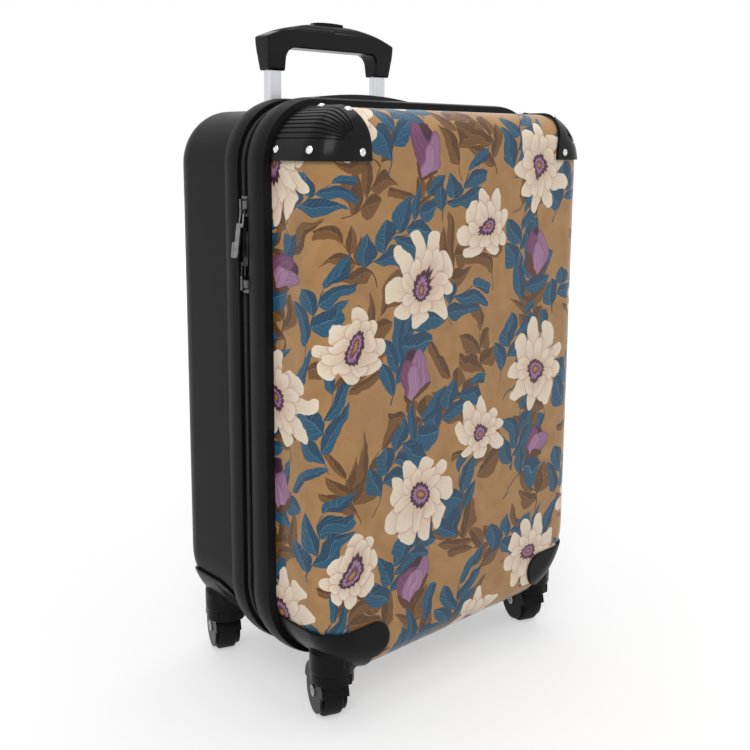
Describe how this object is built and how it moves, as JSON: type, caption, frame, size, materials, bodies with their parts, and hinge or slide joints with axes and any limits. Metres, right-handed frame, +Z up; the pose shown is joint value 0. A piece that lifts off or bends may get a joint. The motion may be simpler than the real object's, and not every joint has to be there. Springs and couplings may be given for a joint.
{
  "type": "suitcase",
  "caption": "Hard-shell cabin trolley case with a floral printed front, ribbed corner guards, zip closure, telescopic handle, sprung carry handle and swivelling casters.",
  "frame": {"origin": "on the floor under the middle of the case", "axes": "+X to the right of the case seen from the printed front, +Y to its back, +Z up"},
  "size_m": [0.3549, 0.2365, 0.616],
  "materials": {
    "print": "floral print under a clear gloss",
    "rear_shell": "satin",
    "rim": "fine woven texture",
    "zip_tape": "woven",
    "zip_coil": "satin",
    "lining": "woven",
    "gusset": "woven",
    "guard": "satin, ribbed",
    "rivet": "polished",
    "tube": "satin anodised",
    "housing": "fine grain",
    "pin": "plain",
    "fork": "fine grain",
    "wheel": "satin",
    "grip": "satin gloss",
    "button": "satin gloss",
    "yoke": "plain",
    "carry_handle": "gloss",
    "slider": "gun-metal",
    "pull": "gun-metal",
    "dark_pull": "black",
    "inner_plastic": "plain"
  },
  "bodies": {
    "case": {"rear_shell": "rear_shell", "rear_rim": "rim", "rear_zip_tape": "zip_tape", "rear_zip_coil": "zip_coil", "rear_lining": "lining", "hinge_gusset": "gusset", "trolley_bezel": "grip", "outer_tube_left": "tube", "outer_tube_right": "tube", "trolley_base": "inner_plastic", "carry_mount_left": "inner_plastic", "carry_mount_right": "inner_plastic", "rear_left_housing": "housing", "rear_right_housing": "housing", "rear_left_kingpin": "pin", "rear_right_kingpin": "pin"},
    "lid": {"front_shell": "print", "front_rim": "rim", "front_zip_tape": "zip_tape", "front_zip_coil": "zip_coil", "front_lining": "lining", "left_corner_guard": "guard", "right_corner_guard": "guard", "guard_rivets": "rivet", "front_left_housing": "housing", "front_right_housing": "housing", "front_left_kingpin": "pin", "front_right_kingpin": "pin"},
    "trolley_middle": {"middle_tube_left": "tube", "middle_tube_right": "tube", "middle_collar_left": "inner_plastic", "middle_collar_right": "inner_plastic"},
    "trolley_grip": {"inner_tube_left": "tube", "inner_tube_right": "tube", "inner_plug_left": "inner_plastic", "inner_plug_right": "inner_plastic", "grip": "grip"},
    "button": {"release_button": "button", "release_yoke": "yoke"},
    "carry": {"carry_handle": "carry_handle"},
    "upper_slider": {"upper_zip_slider": "slider"},
    "lower_slider": {"lower_zip_slider": "slider"},
    "upper_pull": {"upper_zip_pull": "pull"},
    "lower_pull": {"lower_zip_pull": "dark_pull"},
    "front_left_fork_body": {"front_left_fork": "fork", "front_left_axle": "pin"},
    "front_left_wheel_body": {"front_left_wheel": "wheel"},
    "front_right_fork_body": {"front_right_fork": "fork", "front_right_axle": "pin"},
    "front_right_wheel_body": {"front_right_wheel": "wheel"},
    "rear_left_fork_body": {"rear_left_fork": "fork", "rear_left_axle": "pin"},
    "rear_left_wheel_body": {"rear_left_wheel": "wheel"},
    "rear_right_fork_body": {"rear_right_fork": "fork", "rear_right_axle": "pin"},
    "rear_right_wheel_body": {"rear_right_wheel": "wheel"}
  },
  "joints": [
    {"name": "lid_hinge", "type": "hinge", "parent": "case", "child": "lid", "pos_m": [0.1753, -0.017, 0.287], "axis": [0, 0, 1], "range_deg": [0, 180]},
    {"name": "trolley_middle_slide", "type": "slide", "parent": "case", "child": "trolley_middle", "axis": [0, 0, 1], "range_m": [0, 0.228]},
    {"name": "trolley_grip_slide", "type": "slide", "parent": "trolley_middle", "child": "trolley_grip", "axis": [0, 0, 1], "range_m": [-0.069, 0.163]},
    {"name": "release_button_press", "type": "slide", "parent": "trolley_grip", "child": "button", "axis": [0, 0, -1], "range_m": [0, 0.003], "stiffness_N_per_m": 1500, "springref_m": -0.002},
    {"name": "carry_handle_lift", "type": "slide", "parent": "case", "child": "carry", "axis": [0, 0, 1], "range_m": [0, 0.018], "stiffness_N_per_m": 500, "springref_m": -0.006},
    {"name": "upper_slider_run", "type": "slide", "parent": "case", "child": "upper_slider", "axis": [0, 0, 1], "range_m": [0, 0.024]},
    {"name": "lower_slider_run", "type": "slide", "parent": "case", "child": "lower_slider", "axis": [0, 0, 1], "range_m": [-0.259, 0]},
    {"name": "upper_pull_swing", "type": "hinge", "parent": "upper_slider", "child": "upper_pull", "pos_m": [-0.1734, -0.017, 0.4436], "axis": [0, 1, 0], "range_deg": [0, 164]},
    {"name": "lower_pull_swing", "type": "hinge", "parent": "lower_slider", "child": "lower_pull", "pos_m": [-0.1734, -0.017, 0.3864], "axis": [0, -1, 0], "range_deg": [0, 172]},
    {"name": "front_left_swivel", "type": "hinge", "parent": "lid", "child": "front_left_fork_body", "pos_m": [-0.135, -0.085, 0.06], "axis": [0, 0, 1], "continuous": true},
    {"name": "front_left_roll", "type": "hinge", "parent": "front_left_fork_body", "child": "front_left_wheel_body", "pos_m": [-0.12962, -0.071, 0.023], "axis": [0.9336, -0.3584, 0], "continuous": true},
    {"name": "front_right_swivel", "type": "hinge", "parent": "lid", "child": "front_right_fork_body", "pos_m": [0.135, -0.085, 0.06], "axis": [0, 0, 1], "continuous": true},
    {"name": "front_right_roll", "type": "hinge", "parent": "front_right_fork_body", "child": "front_right_wheel_body", "pos_m": [0.14038, -0.071, 0.023], "axis": [0.9336, -0.3584, 0], "continuous": true},
    {"name": "rear_left_swivel", "type": "hinge", "parent": "case", "child": "rear_left_fork_body", "pos_m": [-0.135, 0.077, 0.06], "axis": [0, 0, 1], "continuous": true},
    {"name": "rear_left_roll", "type": "hinge", "parent": "rear_left_fork_body", "child": "rear_left_wheel_body", "pos_m": [-0.12962, 0.091, 0.023], "axis": [0.9336, -0.3584, 0], "continuous": true},
    {"name": "rear_right_swivel", "type": "hinge", "parent": "case", "child": "rear_right_fork_body", "pos_m": [0.135, 0.077, 0.06], "axis": [0, 0, 1], "continuous": true},
    {"name": "rear_right_roll", "type": "hinge", "parent": "rear_right_fork_body", "child": "rear_right_wheel_body", "pos_m": [0.14038, 0.091, 0.023], "axis": [0.9336, -0.3584, 0], "continuous": true}
  ]
}
